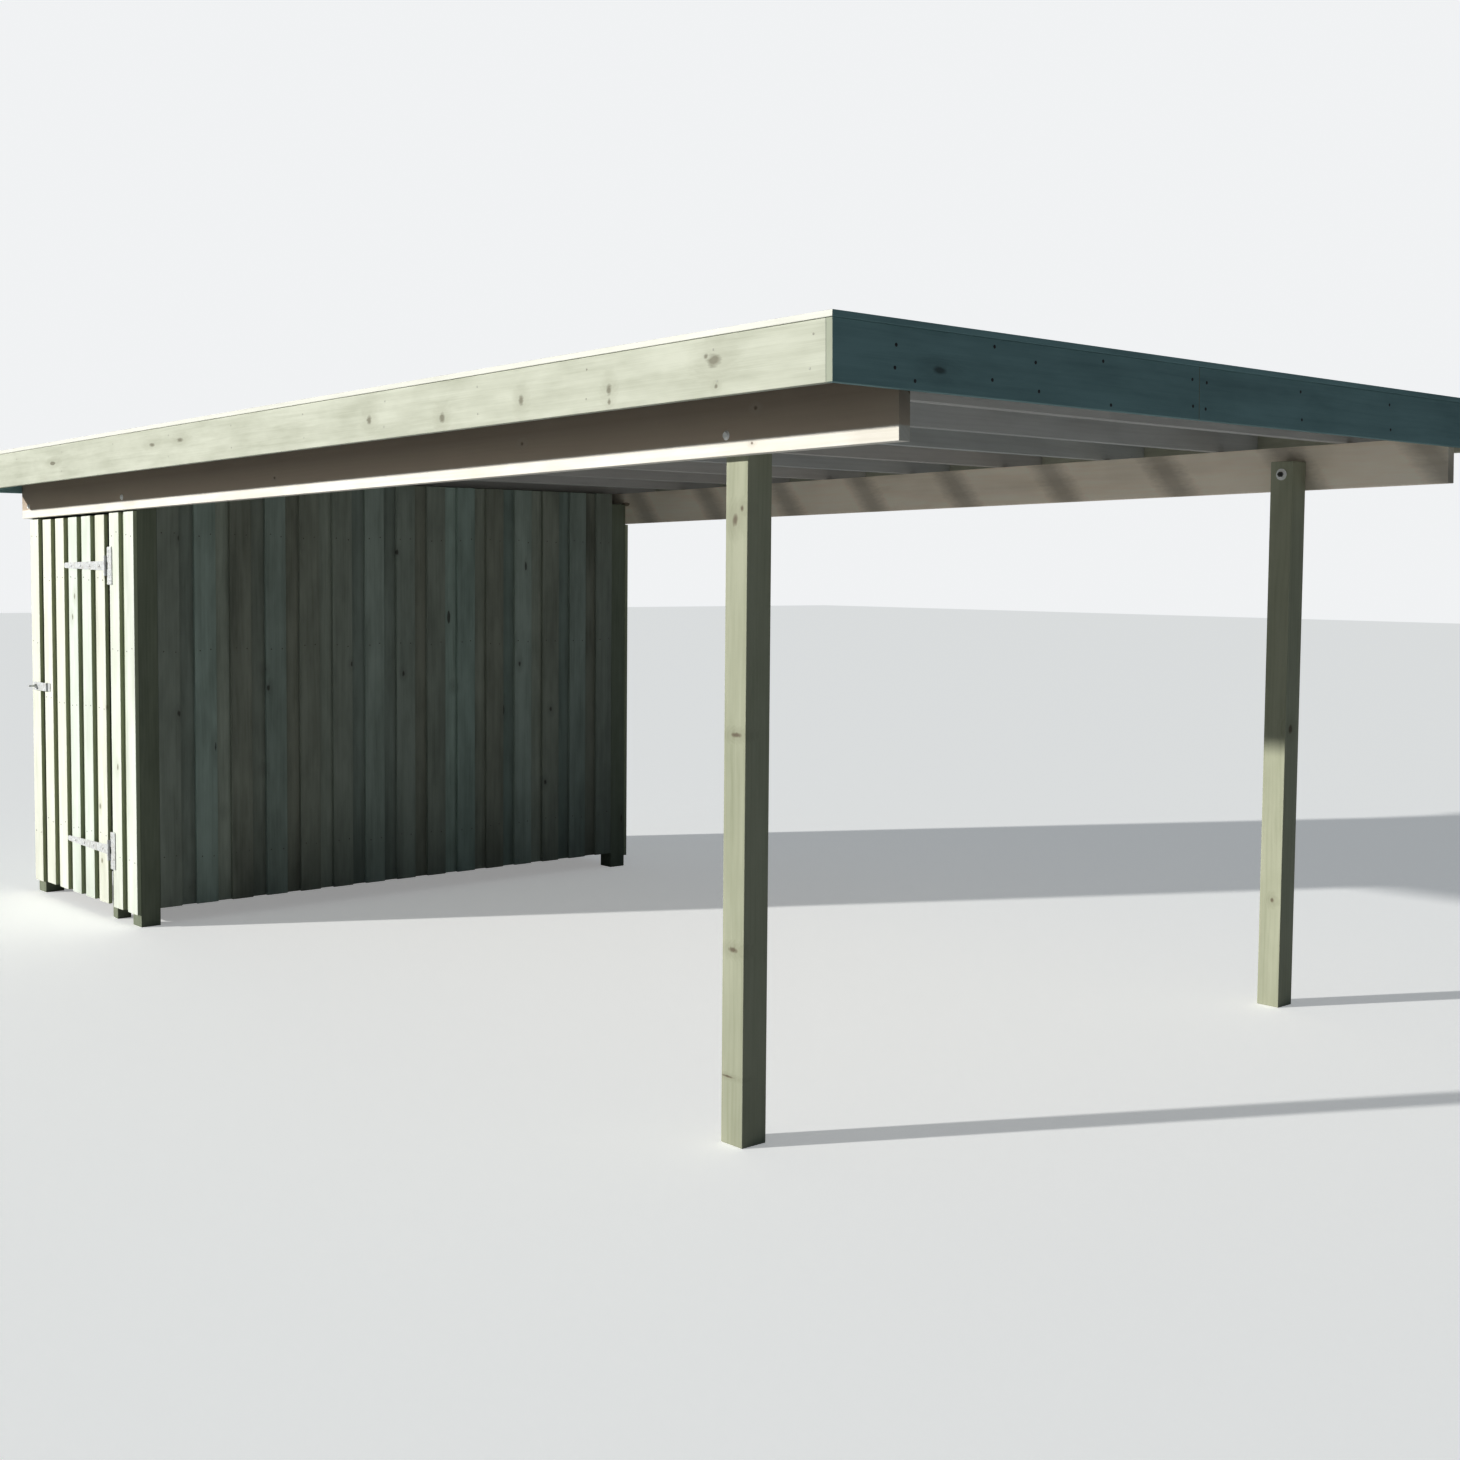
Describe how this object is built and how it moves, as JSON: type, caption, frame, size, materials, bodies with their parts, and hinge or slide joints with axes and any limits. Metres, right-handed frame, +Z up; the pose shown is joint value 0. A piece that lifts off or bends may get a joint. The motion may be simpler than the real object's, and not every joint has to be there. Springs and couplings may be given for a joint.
{
  "type": "timber carport with store",
  "caption": "Flat-roofed timber carport: an open bay on square posts and a board-clad store with a side door across its back end.",
  "frame": {"origin": "middle of the roof's outline, on the ground under the posts", "axes": "+Z up; +Y from the open front end towards the store at the back; +X across the bay, so the store's door is in the wall on the -X side"},
  "size_m": [3.69, 6.6094, 2.4815],
  "materials": {
    "treated_timber": "planed, pressure treated, slightly green",
    "cladding_boards": "sawn, pressure treated, greyish green",
    "galvanised_steel": "hot-dip galvanised",
    "roofing_felt": "mineral-faced bitumen felt"
  },
  "bodies": {
    "carport": {"back_wall_outer": "cladding_boards", "back_wall_under": "cladding_boards", "beam_far": "treated_timber", "beam_near": "treated_timber", "cap_back": "treated_timber", "cap_far": "treated_timber", "cap_front": "treated_timber", "cap_near": "treated_timber", "door_stop": "treated_timber", "far_wall_outer": "cladding_boards", "far_wall_under": "cladding_boards", "fascia_back": "treated_timber", "fascia_far": "treated_timber", "fascia_front": "treated_timber", "fascia_near": "treated_timber", "frame_bolts": "galvanised_steel", "front_wall_outer": "cladding_boards", "front_wall_under": "cladding_boards", "hinge_jamb": "treated_timber", "hinge_plates": "galvanised_steel", "near_wall_outer": "cladding_boards", "near_wall_under": "cladding_boards", "post_front_far": "treated_timber", "post_front_near": "treated_timber", "post_store_back_far": "treated_timber", "post_store_back_near": "treated_timber", "post_store_front_far": "treated_timber", "post_store_front_near": "treated_timber", "rafter_back": "treated_timber", "rafter_front": "treated_timber", "rafters": "treated_timber", "roof_deck": "treated_timber", "roof_felt": "roofing_felt", "staple": "galvanised_steel", "store_rails": "treated_timber"},
    "door": {"door_ledges": "treated_timber", "door_outer_boards": "cladding_boards", "door_under_boards": "cladding_boards", "hasp": "galvanised_steel", "hinge_straps": "galvanised_steel"}
  },
  "joints": [
    {"name": "door_hinge", "type": "hinge", "parent": "carport", "child": "door", "pos_m": [-1.544, 2.19327, 0.35], "axis": [0, 0, 1], "range_deg": [0, 170]}
  ]
}
